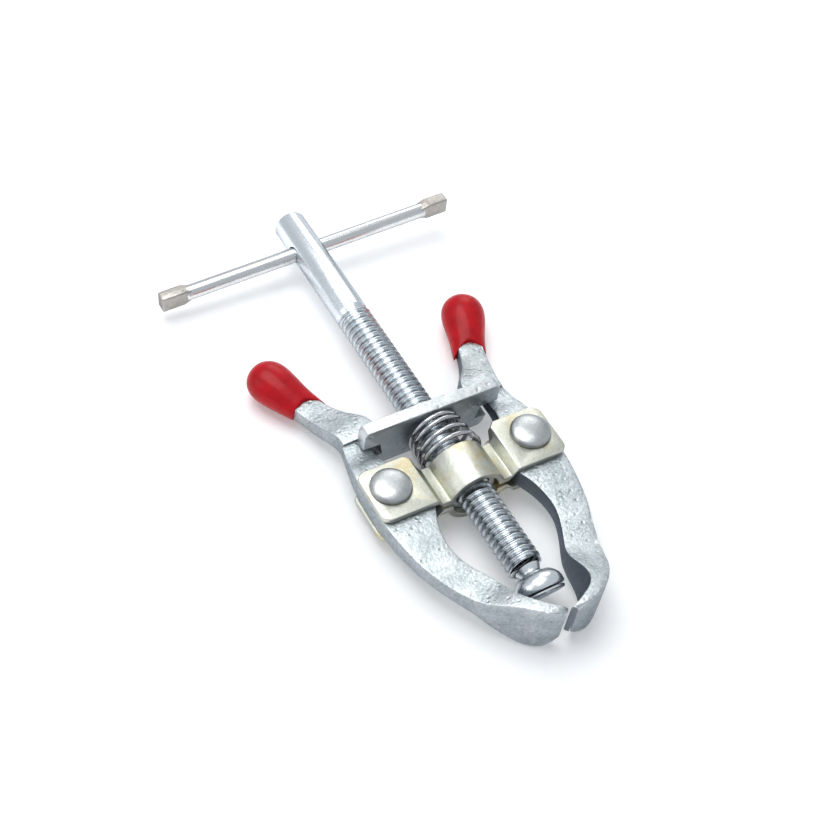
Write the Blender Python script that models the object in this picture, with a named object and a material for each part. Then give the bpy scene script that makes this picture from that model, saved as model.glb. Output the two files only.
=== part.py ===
"""Two-jaw clamp puller: spring-closed forged arms, a captive nut and a forcing screw with a sliding tee bar.

The tool lies flat. +Y runs along the screw towards the tee bar, +X runs from rivet to rivet and +Z is up.
Every part is drawn with the screw axis on X = 0, Z = 0 and the rivets on Y = 0, and hangs from one empty
that sets the tool down on the ground with the origin under the middle of its outline.
"""
import math
import bpy
import bmesh
from mathutils import Matrix, Vector

MM = 0.001
GAP = 0.3                 # air between neighbouring parts

# Where the tool stands
MIDDLE_Y = 24.1           # middle of the tool's length, measured from the rivets
GROUND_Z = -8.8           # underside of the jaws and of the bracket

# Forcing screw
SCREW_R = 5.0
PITCH = 2.0
THREAD_DEPTH = 1.0
THREAD_STEPS = 12         # facets per turn
THREAD_END_Y = -34.4
THREAD_TOP_Y = 61.2
SHANK_R = 4.7
SCREW_TOP_Y = 102.2
NECK_R = 3.2
NECK_END_Y = -35.6
STEM_R = 2.2
BALL_R = 4.0
BALL_Y = -39.4
BALL_FLAT = 27.0          # degrees below the ball's middle where its end is faced off

# Tee bar
TEE_Y = 89.7
TEE_R = 2.25
TEE_HOLE_R = 2.6
TEE_HALF = 47.7
TEE_SWAGE = 8.2
TEE_ROLL = math.radians(2.7)

# Bracket
PIVOT_X = 22.0
ARM_HALF = 3.1            # half thickness of an arm at its rivet
SHEET = 1.8
FLAT_Z = ARM_HALF + GAP + SHEET
LOW_Z = 2.7
HUMP_R = 8.8
PLATE_HALF_X = 28.8
PLATE_Y0 = -9.2
PLATE_Y1 = 7.7
CENTRE_Y1 = 3.3           # the hump stops short of the ears to seat the spring
PLATE_CORNER = 2.8
SLOPE_OUT_X = 12.9
SLOPE_IN_X = 10.9
RIVET_R = 3.0
RIVET_HOLE_R = 3.3
RIVET_HEAD_R = 5.7
RIVET_HEAD_H = 2.1

# Nut
NUT_R = HUMP_R - SHEET - GAP
NUT_Y0 = -7.2
NUT_Y1 = 2.9
NUT_KEY_X = 9.6
NUT_KEY_Z = 0.55

# Cross plate
CROSS_Y0 = 15.6
CROSS_Y1 = 19.2
CROSS_TOP = 8.7
CROSS_BOTTOM = -7.0
CROSS_LONG = 21.5
CROSS_SHORT = 18.8
NOTCH_TOP = 1.9
NOTCH_BOTTOM = -3.1
NOTCH_IN = 15.3
CROSS_HOLE_R = 5.8

# Spring
WIRE_R = 0.7
SPRING_LOW_R = 8.8
SPRING_HIGH_R = 7.3
SPRING_Z = 0.7            # the loose spring sits a little high on the screw
SPRING_TURNS = 4.2
CLOSED_PITCH = 1.45       # rise of the closed turn at each end

# Pressure pad
PAD_R = 6.9
PAD_DOME_H = 5.5
PAD_RIM_Y = -42.0
PAD_TILT = math.radians(20.0)
SOCKET_R = BALL_R + GAP
DISC_T = 1.0

# Vinyl grips
GRIP_SKIN = (3.1, 3.2, 2.9, 2.3, 1.7, 1.3)   # how far the vinyl stands off the steel, tip to mouth
GRIP_NOSE = 5.4           # length of the rounded end
RING = 12                 # corners of every lofted section

# One arm, from the buried end of the handle to the knuckle behind the cross plate.
# Each row is inner edge (out from the screw, along the screw), outer edge, top and underside.
HANDLE = (
    ((30.6, 54.9), (34.2, 53.3), -1.7, -4.3),
    ((29.0, 52.9), (35.4, 50.1), -0.7, -5.2),
    ((26.4, 46.9), (33.4, 44.0), -1.0, -5.8),
    ((23.3, 40.2), (30.6, 37.6), -1.2, -6.1),
    ((20.9, 34.4), (28.9, 31.9), -0.5, -5.6),
    ((18.4, 30.0), (27.4, 27.3), 0.9, -4.7),
    ((15.6, 26.8), (26.3, 23.9), 2.1, -3.9),
    ((14.2, 23.4), (25.8, 21.7), 2.5, -3.6),
    ((14.6, 19.5), (25.8, 19.5), 2.5, -3.5),
)
# The rest of the arm, from the thin neck in the cross plate's notch, past the rivet, to the tip of the jaw.
JAW = (
    ((18.7, 19.4), (26.0, 19.4), 1.4, -2.6),
    ((18.7, 14.4), (27.0, 14.4), 1.4, -2.6),
    ((18.4, 11.4), (27.7, 10.9), 2.6, -2.9),
    ((17.0, 6.5), (28.3, 6.5), 3.1, -3.1),
    ((14.2, 0.0), (28.6, 0.0), 3.1, -3.1),
    ((12.4, -7.0), (28.5, -8.2), 3.1, -3.1),
    ((14.5, -12.0), (27.9, -13.4), 3.0, -3.0),
    ((15.9, -17.6), (27.0, -18.8), 2.8, -2.8),
    ((15.9, -23.4), (25.4, -25.2), 2.65, -2.65),
    ((14.0, -28.8), (22.8, -31.6), 2.6, -2.6),
    ((11.8, -32.6), (20.0, -36.8), 2.8, -2.8),
    ((10.6, -35.6), (18.2, -39.6), 3.4, -3.4),
    ((9.9, -38.8), (16.4, -42.2), 4.8, -4.8),
    ((9.4, -41.8), (14.2, -44.7), 6.4, -6.4),
    ((8.1, -45.0), (11.7, -47.2), 7.8, -7.8),
    ((5.9, -47.9), (9.3, -49.8), 8.5, -8.6),
    ((3.7, -50.1), (6.7, -52.1), 8.7, -8.2),
    ((1.5, -51.8), (4.0, -53.6), 8.6, -6.4),
    ((0.5, -52.6), (1.8, -54.0), 7.8, -3.8),
)
# The right jaw's tip is bowed outwards: how far each of its last rows moves, inner then outer edge.
RIGHT_BOW = (
    ((0.2, -0.3), (0.9, -0.6)),
    ((0.0, -0.5), (1.6, -1.3)),
    ((0.5, -0.8), (2.1, -2.0)),
    ((1.3, -1.4), (2.5, -2.2)),
    ((1.9, -1.8), (2.6, -2.3)),
    ((1.9, -1.5), (2.3, -1.8)),
    ((1.5, -0.8), (1.7, -1.1)),
    ((0.9, -0.4), (0.8, -0.3)),
    ((0.0, 0.0), (0.0, 0.0)),
)


def clear_scene():
    """Remove whatever the start-up scene holds."""
    for thing in list(bpy.data.objects):
        bpy.data.objects.remove(thing, do_unlink=True)


def finish_material(name, colour, roughness, metallic):
    """A plain Principled finish."""
    material = bpy.data.materials.new(name)
    material.use_nodes = True
    shader = material.node_tree.nodes["Principled BSDF"]
    shader.inputs["Base Color"].default_value = (*colour, 1.0)
    shader.inputs["Roughness"].default_value = roughness
    shader.inputs["Metallic"].default_value = metallic
    return material


def add_object(name, bm, material=None, place=(0.0, 0.0, 0.0), sharp=math.radians(35.0)):
    """Turn a bmesh drawn in millimetres about `place` into an object whose origin is `place`."""
    bmesh.ops.transform(bm, matrix=Matrix.Scale(MM, 4) @ Matrix.Translation(-Vector(place)), verts=bm.verts)
    bmesh.ops.recalc_face_normals(bm, faces=bm.faces)
    mesh = bpy.data.meshes.new(name)
    bm.to_mesh(mesh)
    bm.free()
    mesh.shade_smooth()
    mesh.set_sharp_from_angle(angle=sharp)
    if material:
        mesh.materials.append(material)
    thing = bpy.data.objects.new(name, mesh)
    thing.location = Vector(place) * MM
    bpy.context.collection.objects.link(thing)
    return thing


def add_cutter(name, bm, parent):
    """A guide shape that other objects are cut with or joined to; it is not part of the tool."""
    cutter = add_object(name, bm)
    cutter.hide_render = True
    cutter.display_type = "WIRE"
    cutter.parent = parent
    return cutter


def boolean(thing, cutter, operation="DIFFERENCE"):
    """Cut, keep or join one object with another."""
    modifier = thing.modifiers.new(cutter.name, "BOOLEAN")
    modifier.operation = operation
    modifier.solver = "EXACT"
    modifier.object = cutter


def loft(bm, rings, closed_ends=True):
    """Skin a row of equal rings of points, and close both ends."""
    rows = [[bm.verts.new(point) for point in ring] for ring in rings]
    count = len(rows[0])
    for low, high in zip(rows, rows[1:]):
        for i in range(count):
            j = (i + 1) % count
            bm.faces.new((low[i], low[j], high[j], high[i]))
    if closed_ends:
        bm.faces.new(reversed(rows[0]))
        bm.faces.new(rows[-1])


def turned(profile, sides=32):
    """A solid turned about the Y axis; the profile is (radius, y) from one end on the axis to the other."""
    bm = bmesh.new()
    rings = []
    for radius, y in profile:
        ring = []
        for i in range(sides):
            angle = 2.0 * math.pi * i / sides
            ring.append(Vector((radius * math.sin(angle), y, radius * math.cos(angle))))
        rings.append(ring)
    loft(bm, rings)
    return bm


def arc(centre, radius, start, end, steps):
    """Points on an arc, angles in degrees."""
    points = []
    for i in range(steps + 1):
        angle = math.radians(start + (end - start) * i / steps)
        points.append((centre[0] + radius * math.cos(angle), centre[1] + radius * math.sin(angle)))
    return points


def prism(outline, axis, low, high):
    """A closed outline pushed along an axis: 'Y' takes (x, z) points and 'Z' takes (x, y) points."""
    bm = bmesh.new()
    rings = []
    for level in (low, high):
        if axis == "Y":
            rings.append([Vector((x, level, z)) for x, z in outline])
        else:
            rings.append([Vector((x, y, level)) for x, y in outline])
    loft(bm, rings)
    return bm


def disc_outline(centre, radius, sides):
    """A closed round outline."""
    return arc(centre, radius, 0.0, 360.0 - 360.0 / sides, sides - 1)


def spline(rows, steps):
    """Catmull-Rom rows of numbers through the given rows."""
    padded = [rows[0]] + list(rows) + [rows[-1]]
    out = []
    for a, b, c, d in zip(padded, padded[1:], padded[2:], padded[3:]):
        for i in range(steps):
            t = i / steps
            row = []
            for p, q, r, s in zip(a, b, c, d):
                curve = 2 * q + (r - p) * t + (2 * p - 5 * q + 4 * r - s) * t * t
                row.append(0.5 * (curve + (3 * q - p - 3 * r + s) * t ** 3))
            out.append(row)
    out.append(list(rows[-1]))
    return out


def section(inner, outer, top, bottom, corner, side):
    """A rounded rectangle standing on the line from inner edge to outer edge."""
    start = Vector((side * inner[0], inner[1], 0.0))
    end = Vector((side * outer[0], outer[1], 0.0))
    across = (end - start).normalized()
    width = (end - start).length
    corner = min(corner, 0.45 * width, 0.45 * (top - bottom))
    corners = ((width - corner, top - corner, 0.0), (corner, top - corner, 90.0),
               (corner, bottom + corner, 180.0), (width - corner, bottom + corner, 270.0))
    ring = []
    for run, rise, turn in corners:
        for step in (0.0, 45.0, 90.0):
            angle = math.radians(turn + step)
            point = start + across * (run + corner * math.cos(angle))
            point.z = rise + corner * math.sin(angle)
            ring.append(point)
    return ring


def arm_rings(rows, side, steps, corner):
    """Sections along one arm, smoothed between the rows."""
    flat = [(*inner, *outer, top, bottom) for inner, outer, top, bottom in rows]
    rings = []
    for iu, iy, ou, oy, top, bottom in spline(flat, steps):
        rings.append(section((iu, iy), (ou, oy), top, bottom, corner, side))
    return rings


def jaw_rows(side):
    """The jaw's rows, with the tip bowed outwards on the right."""
    if side < 0:
        return JAW
    start = len(JAW) - len(RIGHT_BOW)
    bowed = []
    for (inner, outer, top, bottom), (move_in, move_out) in zip(JAW[start:], RIGHT_BOW):
        bowed.append(((inner[0] + move_in[0], inner[1] + move_in[1]),
                      (outer[0] + move_out[0], outer[1] + move_out[1]), top, bottom))
    return JAW[:start] + tuple(bowed)


def make_arm(side, name, material, parent):
    """A forged arm: handle, knuckle, thin neck, rivet eye and flared jaw."""
    bm = bmesh.new()
    loft(bm, arm_rings(HANDLE, side, 2, 1.1) + arm_rings(jaw_rows(side), side, 2, 0.7))
    pivot = (side * PIVOT_X, 0.0, 0.0)
    arm = add_object(name, bm, material, pivot)
    hole = add_cutter(name + "_eye", prism(disc_outline(pivot[:2], RIVET_HOLE_R, 24), "Z", -6, 6), parent)
    boolean(arm, hole)
    return arm


def grip_ring(middle, direction, half_width, half_height, height, side):
    """One oval section of a dipped grip, square to the handle."""
    across = Vector((direction.y, -direction.x, 0.0))
    ring = []
    for i in range(RING):
        angle = 2.0 * math.pi * (i + 0.5) / RING
        cosine, sine = math.cos(angle), math.sin(angle)
        bulge = (abs(cosine) ** 3.2 + abs(sine) ** 3.2) ** (-1.0 / 3.2)
        point = middle + across * (half_width * bulge * cosine)
        point.z = height + half_height * bulge * sine
        point.x *= side
        ring.append(point)
    return ring


def make_grip(side, name, material):
    """A vinyl sleeve dipped over the end of the handle: a bag open at the mouth."""
    rows = spline([(*inner, *outer, top, bottom) for inner, outer, top, bottom in HANDLE[:4]], 2)
    steel = []
    for iu, iy, ou, oy, top, bottom in rows:
        inner, outer = Vector((iu, iy, 0.0)), Vector((ou, oy, 0.0))
        across = (outer - inner).normalized()
        along = Vector((-across.y, across.x, 0.0))
        steel.append(((inner + outer) / 2, along, (outer - inner).length / 2, (top - bottom) / 2,
                      (top + bottom) / 2))
    inside = []
    room = GAP + 0.15
    for middle, along, half_width, half_height, height in steel[1:]:
        inside.append(grip_ring(middle, along, half_width + room, half_height + room, height, side))
    tip_middle, tip_along = steel[0][0], steel[1][1]
    inside.insert(0, grip_ring(tip_middle + tip_along * 0.5, tip_along, steel[0][2] + room,
                               steel[0][3] + room, steel[0][4], side))
    outside = []
    for skin, (middle, along, half_width, half_height, height) in zip(GRIP_SKIN, steel[1:]):
        outside.insert(0, grip_ring(middle, along, half_width + skin, half_height + skin, height, side))
    middle, along, half_width, half_height, height = steel[1]
    for degrees in (28.0, 52.0, 72.0):
        angle = math.radians(degrees)
        outside.append(grip_ring(middle + along * (GRIP_NOSE * math.sin(angle)), along,
                                 (half_width + GRIP_SKIN[0]) * math.cos(angle),
                                 (half_height + GRIP_SKIN[0]) * math.cos(angle), height, side))
    bm = bmesh.new()
    loft(bm, inside + outside)
    return add_object(name, bm, material, (side * PIVOT_X, 0.0, 0.0))


def bracket_profile(offset):
    """Half of the bracket's pressed shape, (x, z) from the middle of the hump to the outer end."""
    radius = HUMP_R - offset
    low = LOW_Z - offset
    foot = math.degrees(math.asin(low / radius))
    points = arc((0.0, 0.0), radius, 90.0, foot, 8)
    for t in (0.0, 0.5, 1.0):
        x = SLOPE_IN_X + t * (SLOPE_OUT_X - SLOPE_IN_X) - 0.3 * offset
        points.append((x, low + t * (FLAT_Z - LOW_Z)))
    points.append((SLOPE_OUT_X + 1.2, FLAT_Z - offset))
    return points


def make_plate(face, name, material, parent):
    """One pressed plate: two flat ears, a step down beside the nut and a half-round hump over it."""
    outer = bracket_profile(0.0)
    inner = bracket_profile(SHEET)
    back = [CENTRE_Y1] * (len(outer) - 3) + [CENTRE_Y1 + 0.3, PLATE_Y1 - 1.3, PLATE_Y1]
    steps = 5
    for i in range(steps + 1):
        angle = math.radians(90.0 * i / steps)
        x = PLATE_HALF_X - PLATE_CORNER + PLATE_CORNER * math.sin(angle)
        outer.append((x, FLAT_Z))
        inner.append((x, FLAT_Z - SHEET))
        back.append(PLATE_Y1)
    columns = []
    for (x, z), (x_in, z_in), y1 in zip(outer, inner, back):
        over = max(0.0, x - (PLATE_HALF_X - PLATE_CORNER))
        cut = PLATE_CORNER - math.sqrt(max(0.0, PLATE_CORNER ** 2 - over ** 2))
        columns.append((x, z, x_in, z_in, PLATE_Y0 + cut, y1 - cut))
    rings = []
    for x, z, x_in, z_in, y0, y1 in [(-c[0], c[1], -c[2], *c[3:]) for c in reversed(columns[1:])] + columns:
        rings.append([Vector((x, y0, face * z)), Vector((x, y1, face * z)),
                      Vector((x_in, y1, face * z_in)), Vector((x_in, y0, face * z_in))])
    bm = bmesh.new()
    loft(bm, rings)
    plate = add_object(name, bm, material)
    for side in (-1, 1):
        drill = prism(disc_outline((side * PIVOT_X, 0.0), RIVET_HOLE_R, 24), "Z", -7, 7)
        boolean(plate, add_cutter(f"{name}_hole_{side + 1}", drill, parent))
    return plate


def make_rivet(side, name, material):
    """A shouldered rivet with a low domed head on both faces."""
    head_z = FLAT_Z + GAP
    dome_r = (RIVET_HEAD_R ** 2 + RIVET_HEAD_H ** 2) / (2 * RIVET_HEAD_H)
    profile = [(0.05, head_z + RIVET_HEAD_H)]
    for i in range(1, 6):
        radius = RIVET_HEAD_R * i / 5
        profile.append((radius, head_z + RIVET_HEAD_H - dome_r + math.sqrt(dome_r ** 2 - radius ** 2) + 0.01))
    profile.append((RIVET_R, head_z))
    profile += [(radius, -z) for radius, z in reversed(profile)]
    bm = turned(list(reversed(profile)), 28)
    turn = Matrix.Rotation(math.radians(90.0), 4, "X")
    bmesh.ops.transform(bm, matrix=Matrix.Translation((side * PIVOT_X, 0.0, 0.0)) @ turn, verts=bm.verts)
    return add_object(name, bm, material, (side * PIVOT_X, 0.0, 0.0))


def thread_solid(root, crest, root_flat, crest_flat, y0, y1):
    """A right-hand screw thread as a solid rod, longer than y0..y1 by a turn at each end."""
    bm = bmesh.new()
    flank = (PITCH - root_flat - crest_flat) / 2
    profile = ((root, 0.0), (root, root_flat), (crest, root_flat + flank), (crest, root_flat + flank + crest_flat))
    first = math.floor(y0 / PITCH) - 1
    steps = (math.ceil(y1 / PITCH) + 1 - first) * THREAD_STEPS
    columns = []
    for n in range(steps + 1):
        angle = 2.0 * math.pi * n / THREAD_STEPS
        base = PITCH * (first + n / THREAD_STEPS) - root_flat / 2
        columns.append([bm.verts.new((r * math.sin(angle), base + y, r * math.cos(angle))) for r, y in profile])
    for n in range(steps + 1 - THREAD_STEPS):
        columns[n].append(columns[n + THREAD_STEPS][0])
    for here, after in zip(columns, columns[1:]):
        for k in range(min(len(here), len(after)) - 1):
            bm.faces.new((here[k], after[k], after[k + 1], here[k + 1]))
    bmesh.ops.delete(bm, geom=[v for v in bm.verts if not v.link_faces], context="VERTS")
    edges = [e for e in bm.edges if e.is_boundary]
    for loop_y in (min(v.co.y for v in bm.verts), max(v.co.y for v in bm.verts)):
        centre = bm.verts.new((0.0, loop_y, 0.0))
        for edge in edges:
            if abs(edge.verts[0].co.y - loop_y) < 2.5 * PITCH:
                bm.faces.new((*edge.verts, centre))
    return bm


def make_screw(material, parent):
    """The forcing screw: ball end, neck, thread and a plain shank drilled for the tee bar."""
    screw = add_object("screw", thread_solid(SCREW_R - THREAD_DEPTH, SCREW_R, 0.5, 0.7,
                                             THREAD_END_Y, THREAD_TOP_Y), material)
    trim = turned([(NECK_R + 0.3, THREAD_END_Y), (SCREW_R + 0.6, THREAD_END_Y + 1.8),
                   (SCREW_R + 0.6, THREAD_TOP_Y), (SHANK_R - 1.5, THREAD_TOP_Y + 0.9)], 24)
    boolean(screw, add_cutter("screw_trim", trim, parent), "INTERSECT")
    shank = turned([(3.0, THREAD_TOP_Y - 4.0), (3.4, THREAD_TOP_Y - 0.6), (SHANK_R, THREAD_TOP_Y + 0.3),
                    (SHANK_R, SCREW_TOP_Y - 0.9), (SHANK_R - 1.2, SCREW_TOP_Y)], 24)
    boolean(screw, add_cutter("screw_shank", shank, parent), "UNION")
    stem_y = BALL_Y + math.sqrt(BALL_R ** 2 - STEM_R ** 2)
    ball = [(BALL_R * math.cos(math.radians(a)), BALL_Y + BALL_R * math.sin(math.radians(a)))
            for a in (-BALL_FLAT, -10, 8, 25, 40)]
    end = turned(ball + [(STEM_R, stem_y), (STEM_R, NECK_END_Y - 0.4), (NECK_R, NECK_END_Y + 0.3),
                         (NECK_R, THREAD_END_Y + 3.0)], 24)
    boolean(screw, add_cutter("screw_end", end, parent), "UNION")
    drill = turned([(TEE_HOLE_R, -9.0), (TEE_HOLE_R, 9.0)], 24)
    bmesh.ops.transform(drill, matrix=tee_matrix(), verts=drill.verts)
    boolean(screw, add_cutter("screw_drill", drill, parent))
    return screw


def tee_matrix():
    """Turns a shape drawn along Y into the tee bar's place."""
    lay = Matrix.Rotation(math.radians(-90.0), 4, "Z")
    roll = Matrix.Rotation(-TEE_ROLL, 4, "Y")
    return Matrix.Translation((0.0, TEE_Y, 0.0)) @ roll @ lay


def make_tee_bar(material):
    """A round bar whose ends are struck square and flat after it is through the screw."""
    neck = TEE_HALF - TEE_SWAGE
    stations = ((-TEE_HALF, 1.7, 2.75, 5.0), (-TEE_HALF + 0.5, 1.9, 2.8, 5.0), (-neck - 1.6, 2.1, 2.75, 4.0),
                (-neck, TEE_R, TEE_R, 2.0))
    rows = list(stations) + [(-y, a, b, power) for y, a, b, power in reversed(stations)]
    rings = []
    sides = 20
    for y, half_width, half_height, power in rows:
        ring = []
        for i in range(sides):
            angle = 2.0 * math.pi * (i + 0.5) / sides
            cosine, sine = math.cos(angle), math.sin(angle)
            bulge = (abs(cosine) ** power + abs(sine) ** power) ** (-1.0 / power)
            ring.append(Vector((half_width * bulge * cosine, y, half_height * bulge * sine)))
        rings.append(ring)
    bm = bmesh.new()
    loft(bm, rings)
    bmesh.ops.transform(bm, matrix=tee_matrix(), verts=bm.verts)
    return add_object("tee_bar", bm, material, (0.0, TEE_Y, 0.0))


def make_nut(material, parent):
    """The captive nut: a threaded barrel with a key on each side, held between the plates."""
    barrel = turned([(NUT_R, NUT_Y0), (NUT_R, NUT_Y1)], 28)
    nut = add_object("nut", barrel, material)
    key = prism(((-NUT_KEY_X, -NUT_KEY_Z), (NUT_KEY_X, -NUT_KEY_Z), (NUT_KEY_X, NUT_KEY_Z),
                 (-NUT_KEY_X, NUT_KEY_Z)), "Y", NUT_Y0 + 2.0, NUT_Y1 - 1.5)
    boolean(nut, add_cutter("nut_key", key, parent), "UNION")
    room = GAP + 0.1
    tap = thread_solid(SCREW_R - THREAD_DEPTH + room, SCREW_R + room, 0.26, 1.06, NUT_Y0, NUT_Y1)
    boolean(nut, add_cutter("nut_tap", tap, parent))
    return nut


def make_cross_plate(material, parent):
    """A flat plate around the screw, with a notch at each end that an arm's neck passes through."""
    half = [(0.0, CROSS_TOP), (CROSS_LONG - 0.9, CROSS_TOP), (CROSS_LONG, CROSS_TOP - 1.2),
            (CROSS_LONG, NOTCH_TOP), (NOTCH_IN + 0.8, NOTCH_TOP)]
    half += arc((NOTCH_IN + 0.5, NOTCH_BOTTOM + 0.5), 0.75, 140.0, 290.0, 4)
    half += [(CROSS_SHORT, NOTCH_BOTTOM), (CROSS_SHORT - 0.8, CROSS_BOTTOM + 1.4),
             (CROSS_SHORT - 2.0, CROSS_BOTTOM), (0.0, CROSS_BOTTOM)]
    outline = half + [(-x, z) for x, z in reversed(half[1:-1])]
    plate = add_object("cross_plate", prism(outline, "Y", CROSS_Y0, CROSS_Y1), material)
    hole = prism(disc_outline((0.0, 0.0), CROSS_HOLE_R, 28), "Y", CROSS_Y0 - 2, CROSS_Y1 + 2)
    boolean(plate, add_cutter("cross_hole", hole, parent))
    return plate


def make_spring(material):
    """A conical compression spring, wide at the bracket, with a closed turn at each end."""
    low = CENTRE_Y1 + GAP + WIRE_R
    high = CROSS_Y0 - GAP - WIRE_R
    steps = round(SPRING_TURNS * 14)
    rings = []
    for i in range(steps + 1):
        turn = SPRING_TURNS * i / steps
        open_turns = min(1.0, max(0.0, (turn - 1.0) / (SPRING_TURNS - 2.0)))
        rise = CLOSED_PITCH * (min(turn, 1.0) + max(0.0, turn - SPRING_TURNS + 1.0))
        rise += (high - low - 2 * CLOSED_PITCH) * open_turns
        radius = SPRING_LOW_R + (SPRING_HIGH_R - SPRING_LOW_R) * i / steps
        angle = 2.0 * math.pi * turn + 0.6
        outward = Vector((math.sin(angle), 0.0, math.cos(angle)))
        centre = outward * radius + Vector((0.0, low + rise, SPRING_Z))
        ring = []
        for k in range(8):
            around = 2.0 * math.pi * k / 8
            ring.append(centre + outward * (WIRE_R * math.cos(around))
                        + Vector((0.0, WIRE_R * math.sin(around), 0.0)))
        rings.append(ring)
    bm = bmesh.new()
    loft(bm, rings)
    return add_object("spring", bm, material, (0.0, low, 0.0))


def pad_matrix():
    """The pad hangs on the ball, tipped about the ball's centre."""
    centre = Matrix.Translation((0.0, BALL_Y, 0.0))
    return centre @ Matrix.Rotation(PAD_TILT, 4, "X") @ centre.inverted()


def make_pad(material):
    """The swivel pad: a mushroom cap with a socket for the ball, open at both ends."""
    outer = []
    for i in range(7):
        angle = math.radians(4.0 + 49.0 * i / 6)
        outer.append((PAD_R * math.cos(angle) ** 0.9, PAD_RIM_Y + 0.5 + PAD_DOME_H * math.sin(angle)))
    lip_y = outer[-1][1]
    socket = []
    for i in range(7):
        angle = math.radians(32.0 - 48.0 * i / 6)
        socket.append((SOCKET_R * math.cos(angle), BALL_Y + SOCKET_R * math.sin(angle)))
    profile = [(PAD_R - 0.35, PAD_RIM_Y), (PAD_R, PAD_RIM_Y + 0.5)] + outer
    profile += [(STEM_R + 1.4, lip_y - 0.05)] + socket
    profile += [(4.6, PAD_RIM_Y + 0.9), (4.6, PAD_RIM_Y)]
    bm = bmesh.new()
    rings = []
    for radius, y in profile:
        ring = []
        for i in range(32):
            angle = 2.0 * math.pi * i / 32
            ring.append(Vector((radius * math.sin(angle), y, radius * math.cos(angle))))
        rings.append(ring)
    loft(bm, rings + rings[:1], closed_ends=False)
    bmesh.ops.remove_doubles(bm, verts=bm.verts, dist=1e-5)
    bmesh.ops.transform(bm, matrix=pad_matrix(), verts=bm.verts)
    return add_object("swivel_pad", bm, material, (0.0, BALL_Y, 0.0))


def make_disc(material):
    """The flat disc that closes the pad's face under the ball."""
    face_y = PAD_RIM_Y - GAP - DISC_T
    bm = turned([(PAD_R - 0.7, face_y), (PAD_R - 0.35, face_y + 0.35), (PAD_R - 0.35, PAD_RIM_Y - GAP)], 32)
    bmesh.ops.transform(bm, matrix=pad_matrix(), verts=bm.verts)
    return add_object("pad_disc", bm, material, (0.0, BALL_Y, 0.0))


def build():
    clear_scene()
    forged = finish_material("forged_zinc", (0.62, 0.66, 0.68), 0.42, 0.9)
    passivate = finish_material("yellow_zinc", (0.72, 0.70, 0.54), 0.38, 0.85)
    rivet_steel = finish_material("rivet_steel", (0.60, 0.62, 0.62), 0.36, 0.95)
    screw_steel = finish_material("screw_zinc", (0.58, 0.64, 0.69), 0.28, 0.95)
    bar_steel = finish_material("bar_steel", (0.66, 0.67, 0.67), 0.25, 0.95)
    plate_steel = finish_material("cross_plate_zinc", (0.55, 0.58, 0.58), 0.40, 0.9)
    spring_steel = finish_material("spring_steel", (0.50, 0.52, 0.53), 0.22, 1.0)
    vinyl = finish_material("red_vinyl", (0.52, 0.012, 0.022), 0.32, 0.0)

    tool = bpy.data.objects.new("tool", None)
    tool.location = Vector((0.0, -MIDDLE_Y, -GROUND_Z)) * MM
    bpy.context.collection.objects.link(tool)

    parts = [
        make_plate(1, "front_plate", passivate, tool),
        make_plate(-1, "back_plate", passivate, tool),
        make_nut(forged, tool),
        make_cross_plate(plate_steel, tool),
        make_spring(spring_steel),
        make_screw(screw_steel, tool),
        make_tee_bar(bar_steel),
        make_pad(screw_steel),
        make_disc(screw_steel),
    ]
    for side, word in ((-1, "left"), (1, "right")):
        parts.append(make_arm(side, word + "_arm", forged, tool))
        parts.append(make_grip(side, word + "_grip", vinyl))
        parts.append(make_rivet(side, word + "_rivet", rivet_steel))
    for part in parts:
        part.parent = tool


build()
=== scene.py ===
"""Looks for the two-jaw clamp puller: turned screw, pressed plates, forged arms and dipped grips."""
import math

import bpy
from mathutils import Matrix, Vector


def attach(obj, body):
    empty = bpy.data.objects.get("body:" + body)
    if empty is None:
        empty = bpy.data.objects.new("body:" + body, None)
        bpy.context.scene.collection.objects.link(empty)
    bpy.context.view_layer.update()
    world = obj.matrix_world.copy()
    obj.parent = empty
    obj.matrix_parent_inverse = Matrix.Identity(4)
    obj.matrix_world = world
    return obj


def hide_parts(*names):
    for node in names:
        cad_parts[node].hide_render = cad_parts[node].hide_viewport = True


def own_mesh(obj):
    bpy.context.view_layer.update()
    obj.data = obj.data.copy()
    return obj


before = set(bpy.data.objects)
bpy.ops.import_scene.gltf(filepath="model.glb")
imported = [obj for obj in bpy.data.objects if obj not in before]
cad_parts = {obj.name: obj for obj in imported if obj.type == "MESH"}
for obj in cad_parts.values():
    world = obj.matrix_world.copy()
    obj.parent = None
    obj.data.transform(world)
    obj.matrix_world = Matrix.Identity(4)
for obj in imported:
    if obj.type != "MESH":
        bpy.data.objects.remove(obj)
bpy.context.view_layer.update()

MM = 0.001
RIVETS_Y = -24.1          # the line through both rivets
AXIS_Z = 8.8              # height of the forcing screw's axis
RIVET_X = 22.0            # how far each rivet stands from the screw's axis
PITCH = 2.0               # rise of the thread in one turn
THREAD_START = -36.0
THREAD_TURNS = 50
BALL_Y = -39.4            # middle of the ball that holds the pad
PAD_TILT = math.radians(20.0)
TEE_Y = 89.7              # the tee bar's hole along the screw
TEE_HOLE_R = 2.62
TEE_R = 2.25
TEE_ROD = 80.0            # round length between the squashed ends
TEE_END_X = 44.2          # middle of each squashed end
TEE_END_HALF = (3.45, 1.85, 2.7)
TEE_TAPER = 3.0
TEE_ROLL = math.radians(2.7)
WIRE_R = 0.68
LIMIT_FACE = math.radians(0.6)
# Near-black colour of the painted shade in creases and hollows.
CREASE_SHADE = (0.10, 0.11, 0.12)
EDGE_TINT = (0.42, 0.44, 0.48, 1.0)


# ---------------------------------------------------------------- bench tools

def spot(x, y, z):
    """A place given in millimetres from the screw's axis and the rivets' line."""
    return Vector((x, y + RIVETS_Y, z + AXIS_Z)) * MM


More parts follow.
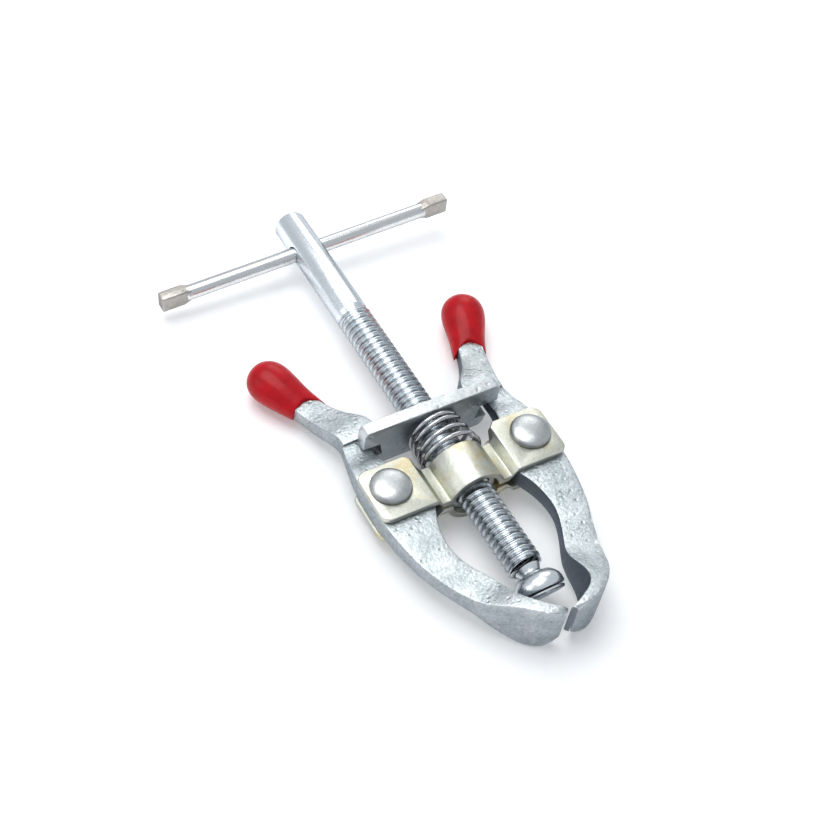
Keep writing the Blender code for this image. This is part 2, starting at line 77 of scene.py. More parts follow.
def pick(*things):
    """Select only these objects, the last one active."""
    bpy.ops.object.select_all(action="DESELECT")
    for thing in things:
        thing.select_set(True)
        bpy.context.view_layer.objects.active = thing


def edit(thing):
    pick(thing)
    bpy.ops.object.mode_set(mode="EDIT")
    bpy.ops.mesh.select_all(action="SELECT")


def leave():
    bpy.ops.object.mode_set(mode="OBJECT")


def apply(thing, kind, **settings):
    """Add a modifier and apply it at once."""
    pick(thing)
    bpy.ops.object.modifier_add(type=kind)
    modifier = thing.modifiers[-1]
    for key, value in settings.items():
        setattr(modifier, key, value)
    bpy.ops.object.modifier_apply(modifier=modifier.name)


def smooth(thing, degrees=35.0):
    pick(thing)
    bpy.ops.object.shade_smooth_by_angle(angle=math.radians(degrees))


def settle(thing, matrix=None):
    """Put a piece in place and fold its place into its mesh."""
    if matrix is not None:
        thing.matrix_world = matrix
    pick(thing)
    bpy.ops.object.transform_apply(location=True, rotation=True, scale=True)


def drawn_edge(name, points):
    """A half outline pulled out of one vertex, from points (out from the axis, along it) in mm."""
    bpy.ops.object.select_all(action="DESELECT")
    bpy.ops.mesh.primitive_plane_add(size=MM)
    thing = bpy.context.object
    thing.name = name
    edit(thing)
    bpy.ops.mesh.merge(type="CENTER")
    bpy.ops.transform.translate(value=(points[0][0] * MM, points[0][1] * MM, 0.0))
    for here, after in zip(points, points[1:]):
        step = ((after[0] - here[0]) * MM, (after[1] - here[1]) * MM, 0.0)
        bpy.ops.mesh.extrude_vertices_move(TRANSFORM_OT_translate={"value": step})
    leave()
    return thing


def turned(name, points, steps=64, rise=0.0, turns=1):
    """Spin a half outline round the Y axis, or wind it up as a thread where it rises."""
    thing = drawn_edge(name, points)
    apply(thing, "SCREW", axis="Y", angle=-2.0 * math.pi if rise else 2.0 * math.pi, steps=steps,
          render_steps=steps, screw_offset=rise * MM, iterations=turns, use_merge_vertices=True,
          merge_threshold=1e-6)
    edit(thing)
    bpy.ops.mesh.remove_doubles(threshold=2e-6)
    bpy.ops.mesh.normals_make_consistent(inside=False)
    leave()
    return thing


def bow(radius, centre, start, end, steps):
    """Points on an arc of a half outline, in degrees from straight out."""
    points = []
    for i in range(steps + 1):
        angle = math.radians(start + (end - start) * i / steps)
        points.append((radius * math.cos(angle), centre + radius * math.sin(angle)))
    return points


def boolean(thing, tool, operation):
    apply(thing, "BOOLEAN", object=tool, operation=operation, solver="EXACT")
    bpy.data.objects.remove(tool, do_unlink=True)


def traced(name, node):
    """A merged copy of a frame part, to be refined."""
    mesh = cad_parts[node].data.copy()
    mesh.materials.clear()
    thing = bpy.data.objects.new(name, mesh)
    bpy.context.collection.objects.link(thing)
    edit(thing)
    bpy.ops.mesh.remove_doubles(threshold=2e-6)
    leave()
    return thing


def fit(piece, body, material, slot, *nodes):
    """Give a finished piece its finish, its body and the frame parts it stands for."""
    piece.data.materials.clear()
    piece.data.materials.append(material)
    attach(piece, body)
    if nodes:
        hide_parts(*nodes)


# ---------------------------------------------------------------- finishes

def new_group(name, inputs, outputs):
    """A shader group with named value inputs and outputs."""
    tree = bpy.data.node_groups.new(name, "ShaderNodeTree")
    for label, default in inputs:
        socket = tree.interface.new_socket(label, in_out="INPUT", socket_type="NodeSocketFloat")
        socket.default_value = default
    for label in outputs:
        tree.interface.new_socket(label, in_out="OUTPUT", socket_type="NodeSocketFloat")
    return tree, tree.nodes.new("NodeGroupInput"), tree.nodes.new("NodeGroupOutput")


def noise(tree, scale, detail=4.0, rough=0.6, vector=None):
    node = tree.nodes.new("ShaderNodeTexNoise")
    node.inputs["Detail"].default_value = detail
    node.inputs["Roughness"].default_value = rough
    if isinstance(scale, (int, float)):
        node.inputs["Scale"].default_value = scale
    else:
        tree.links.new(scale, node.inputs["Scale"])
    if vector is None:
        vector = tree.nodes.new("ShaderNodeTexCoord").outputs["Object"]
    tree.links.new(vector, node.inputs["Vector"])
    return node.outputs["Fac"]


def math_node(tree, operation, a, b=0.0, clamp=False):
    node = tree.nodes.new("ShaderNodeMath")
    node.operation = operation
    node.use_clamp = clamp
    for socket, value in zip(node.inputs, (a, b)):
        if isinstance(value, (int, float)):
            socket.default_value = value
        else:
            tree.links.new(value, socket)
    return node.outputs["Value"]


def spread(tree, value, low, high, to_low=0.0, to_high=1.0):
    node = tree.nodes.new("ShaderNodeMapRange")
    node.inputs["From Min"].default_value = low
    node.inputs["From Max"].default_value = high
    node.inputs["To Min"].default_value = to_low
    node.inputs["To Max"].default_value = to_high
    tree.links.new(value, node.inputs["Value"])
    return node.outputs["Result"]


def blend(tree, mask, first, second):
    """Mix two colours, each a tuple or a socket."""
    node = tree.nodes.new("ShaderNodeMix")
    node.data_type = "RGBA"
    for label, value in (("Factor", mask), ("A", first), ("B", second)):
        socket = node.inputs[label]
        if isinstance(value, tuple):
            socket.default_value = (*value, 1.0)
        elif isinstance(value, (int, float)):
            socket.default_value = value
        else:
            tree.links.new(value, socket)
    return node.outputs["Result"]


def make_grain():
    """Fine blasted grain with slow mottling: Height for a bump, Mottle for colour and gloss."""
    tree, given, out = new_group("plated_grain", (("Fine", 1800.0), ("Broad", 160.0), ("Pits", 0.3)),
                                 ("Height", "Mottle"))
    fine = noise(tree, given.outputs["Fine"], 6.0, 0.65)
    broad = noise(tree, given.outputs["Broad"], 4.0, 0.55)
    cells = tree.nodes.new("ShaderNodeTexVoronoi")
    tree.links.new(tree.nodes.new("ShaderNodeTexCoord").outputs["Object"], cells.inputs["Vector"])
    tree.links.new(math_node(tree, "MULTIPLY", given.outputs["Fine"], 0.35), cells.inputs["Scale"])
    pits = math_node(tree, "MULTIPLY", spread(tree, cells.outputs["Distance"], 0.0, 0.28, -1.0, 0.0),
                     given.outputs["Pits"])
    height = math_node(tree, "ADD", math_node(tree, "MULTIPLY", fine, 0.8), pits)
    tree.links.new(math_node(tree, "ADD", height, math_node(tree, "MULTIPLY", broad, 0.5)),
                   out.inputs["Height"])
    tree.links.new(math_node(tree, "ADD", math_node(tree, "MULTIPLY", fine, 0.60),
                             math_node(tree, "MULTIPLY", broad, 0.40)), out.inputs["Mottle"])
    return tree


def make_edges():
    """Edge masks from pointiness: a painted highlight on outside corners, and painted shade in the hollows.
    """
    tree, given, out = new_group("painted_edge_light_and_shade", (("Spread", 0.05), ("Break Up", 0.4)), ("Edge Highlight", "Crease Shade"))
    point = tree.nodes.new("ShaderNodeNewGeometry").outputs["Pointiness"]
    ragged = math_node(tree, "MULTIPLY", math_node(tree, "SUBTRACT", noise(tree, 420.0), 0.5),
                       math_node(tree, "MULTIPLY", given.outputs["Break Up"], given.outputs["Spread"]))
    shift = math_node(tree, "SUBTRACT", math_node(tree, "ADD", point, ragged), 0.5)
    # Painted highlight on outside corners.
    edge_highlight = math_node(tree, "DIVIDE", math_node(tree, "SUBTRACT", shift, 0.012),
                     given.outputs["Spread"], True)
    # Painted shade in the hollows.
    hollow = math_node(tree, "MULTIPLY", shift, -1.0)
    crease_shade = math_node(tree, "DIVIDE", math_node(tree, "SUBTRACT", hollow, 0.012),
                      given.outputs["Spread"], True)
    tree.links.new(edge_highlight, out.inputs["Edge Highlight"])
    tree.links.new(crease_shade, out.inputs["Crease Shade"])
    return tree


def make_thread_root_darkening():
    """How deep a point lies below the thread's crest, from its distance to the screw's axis."""
    tree, given, out = new_group("thread_depth", (("Crest", 4.95), ("Root", 4.0)), ("Depth",))
    split = tree.nodes.new("ShaderNodeSeparateXYZ")
    tree.links.new(tree.nodes.new("ShaderNodeTexCoord").outputs["Object"], split.inputs["Vector"])
    high = math_node(tree, "SUBTRACT", split.outputs["Z"], AXIS_Z * MM)
    square = math_node(tree, "ADD", math_node(tree, "MULTIPLY", split.outputs["X"], split.outputs["X"]),
                       math_node(tree, "MULTIPLY", high, high))
    radius = math_node(tree, "MULTIPLY", math_node(tree, "SQRT", square), 1000.0)
    span = math_node(tree, "SUBTRACT", given.outputs["Crest"], given.outputs["Root"])
    below = math_node(tree, "SUBTRACT", given.outputs["Crest"], radius)
    depth = math_node(tree, "DIVIDE", below, span, True)
    tree.links.new(depth, out.inputs["Depth"])
    return tree


def make_walls():
    """Masks by which way a surface faces, used to paint shade: Side on walls, Inner on walls turned to the
    screw, Cut on sheared ends turned along the screw.
    """
    tree, given, out = new_group("painted_wall_shade", (("Soften", 0.35),), ("Side", "Inner", "Cut"))
    coords = tree.nodes.new("ShaderNodeTexCoord")
    normal = tree.nodes.new("ShaderNodeSeparateXYZ")
    place = tree.nodes.new("ShaderNodeSeparateXYZ")
    tree.links.new(coords.outputs["Normal"], normal.inputs["Vector"])
    tree.links.new(coords.outputs["Object"], place.inputs["Vector"])
    flat = math_node(tree, "ABSOLUTE", normal.outputs["Z"])
    soften = given.outputs["Soften"]
    side = math_node(tree, "DIVIDE", math_node(tree, "SUBTRACT", 0.85, flat), soften, True)
    facing = math_node(tree, "MULTIPLY", normal.outputs["X"],
                       math_node(tree, "MULTIPLY", math_node(tree, "SIGN", place.outputs["X"]), -1.0))
    inner = math_node(tree, "DIVIDE", math_node(tree, "SUBTRACT", facing, 0.25), soften, True)
    endways = math_node(tree, "ABSOLUTE", normal.outputs["Y"])
    cut = math_node(tree, "DIVIDE", math_node(tree, "SUBTRACT", endways, 0.6), soften, True)
    for label, value in (("Side", side), ("Inner", inner), ("Cut", cut)):
        tree.links.new(value, out.inputs[label])
    return tree


GRAIN = make_grain()
EDGES = make_edges()
THREAD_ROOT_DARKENING = make_thread_root_darkening()
WALLS = make_walls()


def use_group(tree, group, **values):
    node = tree.nodes.new("ShaderNodeGroup")
    node.node_tree = group
    for key, value in values.items():
        node.inputs[key.replace("_", " ")].default_value = value
    return node


def metal(name, pale, dark, edge_highlight, rough, fine=1800.0, broad=160.0, pits=0.3, bump=0.25, highlight_amount=0.6,
          side=0.0, inner=0.0, cut=0.0, wall_shade_colour=(0.16, 0.18, 0.21)):
    """A plated metal: mottled colour, a painted highlight on outside edges, painted shade on walls by which
    way they face and in the hollows, and a fine grain.
    """
    material = bpy.data.materials.new(name)
    material.use_nodes = True
    tree = material.node_tree
    shader = tree.nodes["Principled BSDF"]
    shader.inputs["Metallic"].default_value = 1.0
    shader.inputs["Specular Tint"].default_value = EDGE_TINT
    grain = use_group(tree, GRAIN, Fine=fine, Broad=broad, Pits=pits)
    edges = use_group(tree, EDGES)
    mottle = spread(tree, grain.outputs["Mottle"], 0.35, 0.65)
    colour = blend(tree, mottle, dark, pale)
    # Painted shade: walls, inner walls and sheared ends pushed toward a darker colour by which way they
    # face.
    if side or inner or cut:
        walls = use_group(tree, WALLS)
        for label, amount in (("Side", side), ("Inner", inner), ("Cut", cut)):
            if amount:
                mask = math_node(tree, "MULTIPLY", walls.outputs[label], amount)
                colour = blend(tree, mask, colour, wall_shade_colour)
    # Painted highlight: outside edges pushed toward a bright colour.
    colour = blend(tree, math_node(tree, "MULTIPLY", edges.outputs["Edge Highlight"], highlight_amount), colour, edge_highlight)
    # Painted shade: creases and hollows pushed toward near black.
    colour = blend(tree, math_node(tree, "MULTIPLY", edges.outputs["Crease Shade"], 0.6), colour, CREASE_SHADE)
    tree.links.new(colour, shader.inputs["Base Color"])
    tree.links.new(spread(tree, mottle, 0.0, 1.0, rough + 0.07, rough - 0.06),
                   shader.inputs["Roughness"])
    raised = tree.nodes.new("ShaderNodeBump")
    raised.inputs["Strength"].default_value = bump
    raised.inputs["Distance"].default_value = 0.00025
    tree.links.new(grain.outputs["Height"], raised.inputs["Height"])
    tree.links.new(raised.outputs["Normal"], shader.inputs["Normal"])
    return material


def yellow_zinc():
    """Pressed sheet in pale yellow chromate, golden in cloudy patches."""
    # cut: painted shade on the sheared ends turned along the screw.
    material = metal("yellow_zinc", (0.64, 0.65, 0.56), (0.46, 0.47, 0.39), (0.86, 0.86, 0.80), 0.34,
                     fine=1300.0, broad=120.0, pits=0.25, bump=0.40, cut=0.85, wall_shade_colour=(0.30, 0.30, 0.29))
    tree = material.node_tree
    shader = tree.nodes["Principled BSDF"]
    cloud = spread(tree, noise(tree, 90.0, 5.0, 0.65), 0.53, 0.68, 0.0, 0.75)
    base = shader.inputs["Base Color"].links[0].from_socket
    tree.links.new(blend(tree, cloud, base, (0.58, 0.46, 0.22)), shader.inputs["Base Color"])
    return material


def screw_zinc(name):
    """Bright bluish plating."""
    return metal(name, (0.88, 0.92, 0.94), (0.72, 0.78, 0.82), (0.96, 0.97, 0.98), 0.26,
                 fine=2200.0, broad=140.0, pits=0.15, bump=0.14)


def thread_zinc():
    """The same plating, darker toward the thread's roots."""
    material = screw_zinc("thread_zinc")
    tree = material.node_tree
    shader = tree.nodes["Principled BSDF"]
    depth = use_group(tree, THREAD_ROOT_DARKENING).outputs["Depth"]
    base = shader.inputs["Base Color"].links[0].from_socket
    # Darker toward the thread's roots, by depth below the crest.
    tree.links.new(blend(tree, spread(tree, depth, 0.45, 1.0, 0.0, 0.70), base, (0.10, 0.12, 0.15)),
                   shader.inputs["Base Color"])
    return material


def red_vinyl():
    """Glossy dipped vinyl: slightly uneven red with a soft orange-peel skin."""
    material = bpy.data.materials.new("red_vinyl")
    material.use_nodes = True
    tree = material.node_tree
    shader = tree.nodes["Principled BSDF"]
    shader.inputs["Specular IOR Level"].default_value = 0.16
    shader.inputs["Coat Weight"].default_value = 0.12
    shader.inputs["Coat Roughness"].default_value = 0.10
    tone = spread(tree, noise(tree, 210.0, 4.0, 0.6), 0.35, 0.65)
    tree.links.new(blend(tree, tone, (0.36, 0.002, 0.006), (0.49, 0.004, 0.010)),
                   shader.inputs["Base Color"])
    tree.links.new(spread(tree, tone, 0.0, 1.0, 0.42, 0.34), shader.inputs["Roughness"])
    fine = math_node(tree, "MULTIPLY", noise(tree, 1400.0, 2.0, 0.5), 0.25)
    skin = math_node(tree, "ADD", noise(tree, 260.0, 3.0, 0.5), fine)
    raised = tree.nodes.new("ShaderNodeBump")
    raised.inputs["Strength"].default_value = 0.22
    raised.inputs["Distance"].default_value = 0.0004
    tree.links.new(skin, raised.inputs["Height"])
    tree.links.new(raised.outputs["Normal"], shader.inputs["Normal"])
    return material


# side and inner: painted shade on the arms' walls, darkest on walls turned to the screw.
FORGED = metal("forged_zinc", (0.74, 0.78, 0.79), (0.34, 0.39, 0.40), (0.95, 0.96, 0.96), 0.38,
               fine=1250.0, broad=150.0, pits=0.7, bump=1.0, highlight_amount=1.0, side=0.30, inner=0.85)
YELLOW = yellow_zinc()
# side: painted shade on the rivet heads' rims.
RIVET = metal("rivet_steel", (0.60, 0.62, 0.61), (0.42, 0.44, 0.44), (0.82, 0.83, 0.83), 0.33,
              fine=1500.0, broad=260.0, pits=0.3, bump=0.30, side=0.8, wall_shade_colour=(0.07, 0.07, 0.08))
SCREW = screw_zinc("screw_zinc")
THREAD = thread_zinc()
BAR = metal("bar_steel", (0.80, 0.81, 0.81), (0.64, 0.65, 0.65), (0.90, 0.90, 0.90), 0.27,
            fine=2000.0, broad=220.0, pits=0.15, bump=0.15)
# side: painted shade on the walls of the squashed ends.
SWAGE = metal("bar_end_steel", (0.46, 0.43, 0.39), (0.24, 0.21, 0.19), (0.78, 0.76, 0.72), 0.38,
              fine=1300.0, broad=300.0, pits=0.4, bump=0.5, side=0.4, wall_shade_colour=(0.16, 0.14, 0.13))
# side: painted shade on the cross plate's walls and wide faces.
PLATE = metal("plate_zinc", (0.74, 0.77, 0.78), (0.42, 0.45, 0.46), (0.90, 0.91, 0.91), 0.38,
              fine=1000.0, broad=140.0, pits=0.8, bump=0.9, side=0.8, wall_shade_colour=(0.34, 0.39, 0.43))
WIRE = metal("spring_steel", (0.52, 0.53, 0.55), (0.30, 0.31, 0.33), (0.85, 0.85, 0.85), 0.18,
             fine=1600.0, broad=500.0, pits=0.05, bump=0.08)
VINYL = red_vinyl()


# ---------------------------------------------------------------- forcing screw

def make_screw():
    """Rolled thread with chamfered ends, a plain shank drilled for the bar, and the neck with its ball."""
    first = THREAD_START
    form = ((4.0, first), (4.0, first + 0.28), (4.55, first + 0.62), (4.92, first + 0.80),
            (5.0, first + 0.98), (5.0, first + 1.22), (4.92, first + 1.40), (4.55, first + 1.62),
            (4.0, first + PITCH))
    thread = turned("screw_thread", form, 40, PITCH, THREAD_TURNS)
    edit(thread)
    bpy.ops.mesh.bisect(plane_co=(0.0, -35.6 * MM, 0.0), plane_no=(0.0, 1.0, 0.0),
                        clear_inner=True, use_fill=True)
    bpy.ops.mesh.select_all(action="SELECT")
    bpy.ops.mesh.bisect(plane_co=(0.0, 62.4 * MM, 0.0), plane_no=(0.0, 1.0, 0.0),
                        clear_outer=True, use_fill=True)
    bpy.ops.mesh.select_all(action="SELECT")
    bpy.ops.mesh.normals_make_consistent(inside=False)
    leave()
    trim = turned("thread_ends", ((0.0, -35.1), (3.8, -35.1), (5.1, -34.0), (5.1, 60.4),
                                  (4.1, 61.8), (0.0, 61.8)), 40)
    boolean(thread, trim, "INTERSECT")
    shank = turned("screw_shank", ((0.0, 58.6), (4.0, 58.6), (4.1, 60.0), (4.86, 61.6), (4.9, 62.2),
                                   (4.9, 101.1), (4.72, 101.7), (4.2, 102.1), (3.6, 102.2),
                                   (0.0, 102.2)), 64)
    bpy.ops.object.select_all(action="DESELECT")
    bpy.ops.mesh.primitive_cylinder_add(vertices=40, radius=TEE_HOLE_R * MM, depth=14.0 * MM,
                                        location=(0.0, TEE_Y * MM, 0.0),
                                        rotation=(0.0, math.pi / 2 - TEE_ROLL, 0.0))
    drill = bpy.context.object
    boolean(shank, drill, "DIFFERENCE")
    apply(shank, "BEVEL", width=0.22 * MM, segments=2, limit_method="ANGLE",
          angle_limit=math.radians(50.0))
    neck = turned("screw_neck", [(0.0, -41.1), (3.4, -41.1)] + bow(3.9, BALL_Y, -20.0, 32.0, 6)
                  + [(2.9, -36.9), (2.9, -36.4), (3.7, -35.0), (0.0, -34.9)], 48)
    for piece, finish in ((thread, THREAD), (shank, SCREW), (neck, SCREW)):
        settle(piece, Matrix.Translation(spot(0.0, 0.0, 0.0)))
        smooth(piece, 32.0)
        fit(piece, "forcing_screw", finish, "screw_zinc", "screw")


def make_tee_bar():
    """A round bar with both ends squashed flat."""
    lay = Matrix.Translation(spot(0.0, TEE_Y, 0.0)) @ Matrix.Rotation(-TEE_ROLL, 4, "Y")
    bpy.ops.object.select_all(action="DESELECT")
    bpy.ops.mesh.primitive_cylinder_add(vertices=48, radius=TEE_R * MM, depth=TEE_ROD * MM)
    bar = bpy.context.object
    bar.name = "tee_bar_rod"
    apply(bar, "BEVEL", width=0.7 * MM, segments=4, limit_method="ANGLE",
          angle_limit=math.radians(60.0))
    settle(bar, lay @ Matrix.Rotation(math.pi / 2, 4, "Y"))
    smooth(bar, 30.0)
    fit(bar, "handle_bar", BAR, "bar_steel", "tee_bar")
    for side, word in ((-1, "left"), (1, "right")):
        bpy.ops.object.select_all(action="DESELECT")
        bpy.ops.mesh.primitive_cube_add(size=2.0)
        end = bpy.context.object
        end.name = "tee_bar_" + word + "_end"
        end.scale = Vector(TEE_END_HALF) * MM
        end.location = Vector((side * TEE_END_X, 0.0, 0.0)) * MM
        settle(end)
        edit(end)
        bpy.ops.mesh.select_all(action="DESELECT")
        leave()
        for face in end.data.polygons:
            face.select = face.normal.x * side < -0.9
        pick(end)
        bpy.ops.object.mode_set(mode="EDIT")
        bpy.ops.mesh.extrude_region_move(
            TRANSFORM_OT_translate={"value": (-side * TEE_TAPER * MM, 0.0, 0.0)})
        bpy.ops.transform.resize(value=(1.0, 0.86, 0.60), center_override=(side * 37.8 * MM, 0.0, 0.0))
        leave()
        apply(end, "BEVEL", width=0.55 * MM, segments=4, limit_method="ANGLE",
              angle_limit=math.radians(12.0))
        settle(end, lay)
        smooth(end, 40.0)
        fit(end, "handle_bar", SWAGE, "bar_steel")


def make_pad():
    """The swivel cap with its socket, and the flat disc let into its face."""
    tip = Matrix.Translation(spot(0.0, BALL_Y, 0.0)) @ Matrix.Rotation(PAD_TILT, 4, "X")
    shell = [(4.7, -2.6), (6.3, -2.6), (6.75, -2.45), (6.9, -2.1), (6.9, -1.5)]
    for i in range(1, 9):
        angle = math.radians(56.0 * i / 8)
        shell.append((6.9 * math.cos(angle) ** 0.85, -1.5 + 4.7 * math.sin(angle)))
    shell += [(3.75, 2.3), (3.65, 2.0), (4.1, 1.2), (4.3, 0.0), (4.4, -1.4), (4.7, -2.6)]
    cap = turned("pad_cap", shell, 64)
    settle(cap, tip)
    smooth(cap, 30.0)
    fit(cap, "pad", SCREW, "screw_zinc", "swivel_pad")
    disc = turned("pad_face", ((0.0, -3.9), (5.7, -3.9), (6.2, -3.8), (6.45, -3.45), (6.45, -3.0),
                               (6.1, -2.85), (0.0, -2.85)), 64)
    settle(disc, tip)
    smooth(disc, 30.0)
    fit(disc, "pad", SCREW, "screw_zinc", "pad_disc")


# ---------------------------------------------------------------- bracket

def make_plates():
    """Pressed plates with rounded sheared edges, and the nut held between them."""
    for name, node, slot, material, width in (
            ("bracket_top", "front_plate", "yellow_zinc", YELLOW, 0.28),
            ("bracket_under", "back_plate", "yellow_zinc", YELLOW, 0.28),
            ("captive_nut", "nut", "forged_zinc", FORGED, 0.15)):
        plate = traced(name, node)
        edit(plate)
        bpy.ops.mesh.dissolve_limited(angle_limit=LIMIT_FACE)
        leave()
        apply(plate, "BEVEL", width=width * MM, segments=3, limit_method="ANGLE",
              angle_limit=math.radians(48.0))
        smooth(plate, 28.0)
        fit(plate, "bracket", material, slot, node)


def make_rivets():
    """Domed heads on both faces, struck from the shank."""
    head = [(0.0, 7.6), (1.4, 7.57), (2.8, 7.44), (3.9, 7.2), (4.8, 6.88), (5.3, 6.6),
            (5.6, 6.25), (5.72, 5.85), (5.7, 5.45), (5.55, 5.26), (3.0, 5.24)]
    outline = head + [(out, -up) for out, up in reversed(head)]
    for side, word in ((-1, "left"), (1, "right")):
        rivet = turned(word + "_rivet_heads", outline, 56)
        place = Matrix.Translation(spot(side * RIVET_X, 0.0, 0.0))
        settle(rivet, place @ Matrix.Rotation(math.pi / 2, 4, "X"))
        smooth(rivet, 40.0)
        fit(rivet, "bracket", RIVET, "rivet_steel", word + "_rivet")


def make_spring():
    """A loose conical spring of bright wire with closed ends."""
    low, high, closed = 4.35, 14.55, 1.45
    turns = 4.2
    curve = bpy.data.curves.new("return_spring", "CURVE")
    curve.dimensions = "3D"
    curve.bevel_depth = WIRE_R * MM
    curve.bevel_resolution = 5
    curve.use_fill_caps = True
    line = curve.splines.new("POLY")
    steps = round(turns * 40)
    line.points.add(steps)
    for i in range(steps + 1):
        turn = turns * i / steps
        active = min(1.0, max(0.0, (turn - 1.0) / (turns - 2.0)))
        ends = closed * (min(turn, 1.0) + max(0.0, turn - turns + 1.0))
        along = low + ends + (high - low - 2.0 * closed) * active
        radius = 8.78 + (7.3 - 8.78) * i / steps
        angle = 2.0 * math.pi * turn + 0.6
        place = spot(radius * math.sin(angle), along, 0.7 + radius * math.cos(angle))
        line.points[i].co = (*place, 1.0)
    spring = bpy.data.objects.new("return_spring", curve)
    bpy.context.collection.objects.link(spring)
    pick(spring)
    bpy.ops.object.convert(target="MESH")
    spring = bpy.context.object
    smooth(spring, 60.0)
    fit(spring, "bracket", WIRE, "spring_steel", "spring")
    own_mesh(spring)


def make_cross_plate():
    """The notched bar, with its corners eased."""
    plate = traced("cross_bar", "cross_plate")
    edit(plate)
    bpy.ops.mesh.dissolve_limited(angle_limit=LIMIT_FACE)
    leave()
    apply(plate, "BEVEL", width=0.3 * MM, segments=3, limit_method="ANGLE",
          angle_limit=math.radians(40.0))
    smooth(plate, 28.0)
    fit(plate, "plate", PLATE, "plate_zinc", "cross_plate")


# ---------------------------------------------------------------- arms and grips

def make_arms():
    """The two forgings, with narrow rounded corners on smooth faces."""
    for word in ("left", "right"):
        arm = traced(word + "_forging", word + "_arm")
        edit(arm)
        bpy.ops.mesh.tris_convert_to_quads(face_threshold=math.radians(60.0),
                                           shape_threshold=math.radians(90.0))
        leave()
        apply(arm, "BEVEL", width=0.40 * MM, segments=2, limit_method="ANGLE",
              angle_limit=math.radians(34.0))
        apply(arm, "SUBSURF", levels=1, render_levels=1)
        smooth(arm, 40.0)
        fit(arm, word + "_jaw_arm", FORGED, "forged_zinc", word + "_arm")


def make_grip(side, word, inner_reach, outer_reach):
    """A vinyl sleeve grown ring by ring from its dipped mouth to its rounded end."""
    # along the handle, half width, half height
    stations = ((0.25, 4.85, 3.6), (0.6, 5.05, 3.8), (3.4, 5.3, 4.2), (6.8, 5.95, 4.9),
                (10.2, 6.5, 5.45), (13.0, 6.65, 5.65), (15.4, 6.2, 5.3), (17.3, 5.05, 4.4),
                (18.6, 3.4, 3.0), (19.2, 1.5, 1.4))
    bpy.ops.object.select_all(action="DESELECT")
    bpy.ops.mesh.primitive_circle_add(vertices=24, radius=MM, fill_type="NGON")
    grip = bpy.context.object
    grip.name = word + "_sleeve"
    edit(grip)
    bpy.ops.transform.resize(value=(4.3, 3.0, 1.0), center_override=(0.0, 0.0, 0.0))
    bpy.ops.transform.translate(value=(0.0, 0.0, 0.2 * MM))
    along, wide, tall = 0.2, 4.3, 3.0
    for station, half_width, half_height in stations:
        bpy.ops.mesh.extrude_region_move(
            TRANSFORM_OT_translate={"value": (0.0, 0.0, (station - along) * MM)})
        bpy.ops.transform.resize(value=(half_width / wide, half_height / tall, 1.0),
                                 center_override=(0.0, 0.0, station * MM))
        along, wide, tall = station, half_width, half_height
    bpy.ops.mesh.select_all(action="DESELECT")
    leave()
    for vertex in grip.data.vertices:
        inner = vertex.co.x / MM
        if vertex.co.z < 0.9 * MM:
            reach = inner_reach if inner > 0.0 else outer_reach
            vertex.co.z -= (reach * (inner / 5.0) ** 2 - 0.8 * (1.0 - abs(inner) / 5.0)) * MM
    edit(grip)
    bpy.ops.mesh.normals_make_consistent(inside=False)
    leave()
    apply(grip, "SUBSURF", levels=2, render_levels=2)
    axis = Vector((0.385 * side, 0.922, 0.06)).normalized()
    across = Vector((-0.922 * side, 0.385, 0.0)).normalized()
    up = axis.cross(across) * side
    turn = Matrix((across, up, axis)).transposed().to_4x4()
    settle(grip, Matrix.Translation(spot(side * 26.9, 38.7, -3.75)) @ turn)
    edit(grip)
    bpy.ops.mesh.normals_make_consistent(inside=False)
    leave()
    smooth(grip, 60.0)
    fit(grip, word + "_jaw_arm", VINYL, "red_vinyl", word + "_grip")


# ---------------------------------------------------------------- studio

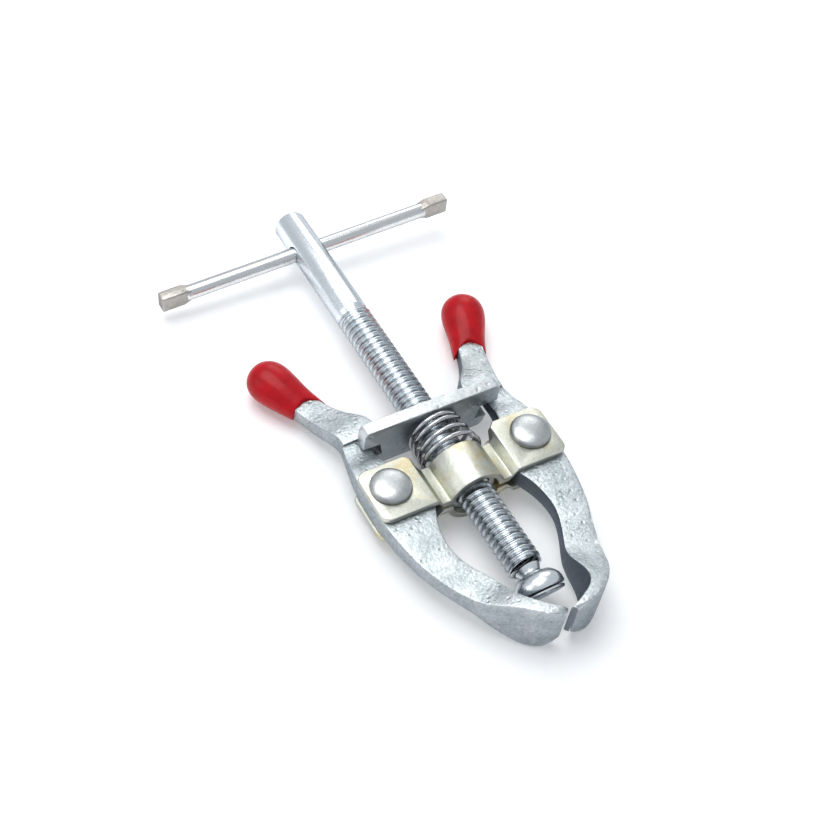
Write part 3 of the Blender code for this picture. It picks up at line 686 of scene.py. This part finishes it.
def make_studio():
    """A pale floor, soft light from above and behind, and the camera."""
    bpy.ops.object.select_all(action="DESELECT")
    bpy.ops.mesh.primitive_plane_add(size=6.0, location=(0.0, 0.0, -0.0004))
    floor = bpy.context.object
    floor.name = "studio_floor"
    paint = bpy.data.materials.new("studio_floor")
    paint.use_nodes = True
    tree = paint.node_tree
    shader = tree.nodes["Principled BSDF"]
    shader.inputs["Roughness"].default_value = 0.9
    shader.inputs["Specular IOR Level"].default_value = 0.1
    shader.inputs["Emission Color"].default_value = (1.0, 1.0, 1.0, 1.0)
    shader.inputs["Emission Strength"].default_value = 0.14
    tree.links.new(blend(tree, noise(tree, 3.0), (0.93, 0.93, 0.93), (0.96, 0.96, 0.96)),
                   shader.inputs["Base Color"])
    floor.data.materials.append(paint)

    world = bpy.data.worlds.new("studio")
    world.use_nodes = True
    world.node_tree.nodes["Background"].inputs["Color"].default_value = (0.86, 0.91, 0.97, 1.0)
    world.node_tree.nodes["Background"].inputs["Strength"].default_value = 0.62
    bpy.context.scene.world = world
    bpy.context.scene.view_settings.view_transform = "Standard"

    for name, place, size, power, tint in (
            ("softbox_top", (-0.10, 0.25, 0.80), 0.60, 4.0, (1.0, 1.0, 1.0)),
            ("softbox_back", (0.55, 0.75, 0.55), 0.50, 1.6, (1.0, 0.99, 0.97)),
            ("softbox_left", (-0.75, 0.20, 0.45), 0.45, 0.8, (1.0, 1.0, 1.0))):
        light = bpy.data.lights.new(name, "AREA")
        light.shape = "SQUARE"
        light.size = size
        light.energy = power
        light.color = tint
        lamp = bpy.data.objects.new(name, light)
        lamp.location = place
        lamp.rotation_euler = (Vector((0.0, 0.0, 0.0)) - Vector(place)).to_track_quat("-Z", "Y").to_euler()
        bpy.context.collection.objects.link(lamp)

    lens = bpy.data.cameras.new("camera")
    lens.lens = 67.52
    lens.sensor_width = 36.0
    camera = bpy.data.objects.new("camera", lens)
    right = Vector((0.86166, -0.49309, 0.12000))
    up = Vector((0.32493, 0.71769, 0.61590))
    back = Vector((-0.38982, -0.49171, 0.77863))
    view = Matrix((right, up, back)).transposed().to_4x4()
    camera.matrix_world = Matrix.Translation(spot(-169.7, -189.9, 335.8)) @ view
    bpy.context.collection.objects.link(camera)
    bpy.context.scene.camera = camera


make_studio()
make_screw()
make_tee_bar()
make_pad()
make_plates()
make_rivets()
make_spring()
make_cross_plate()
make_arms()
make_grip(-1, "left", 5.6, -0.5)
make_grip(1, "right", 4.2, 2.6)
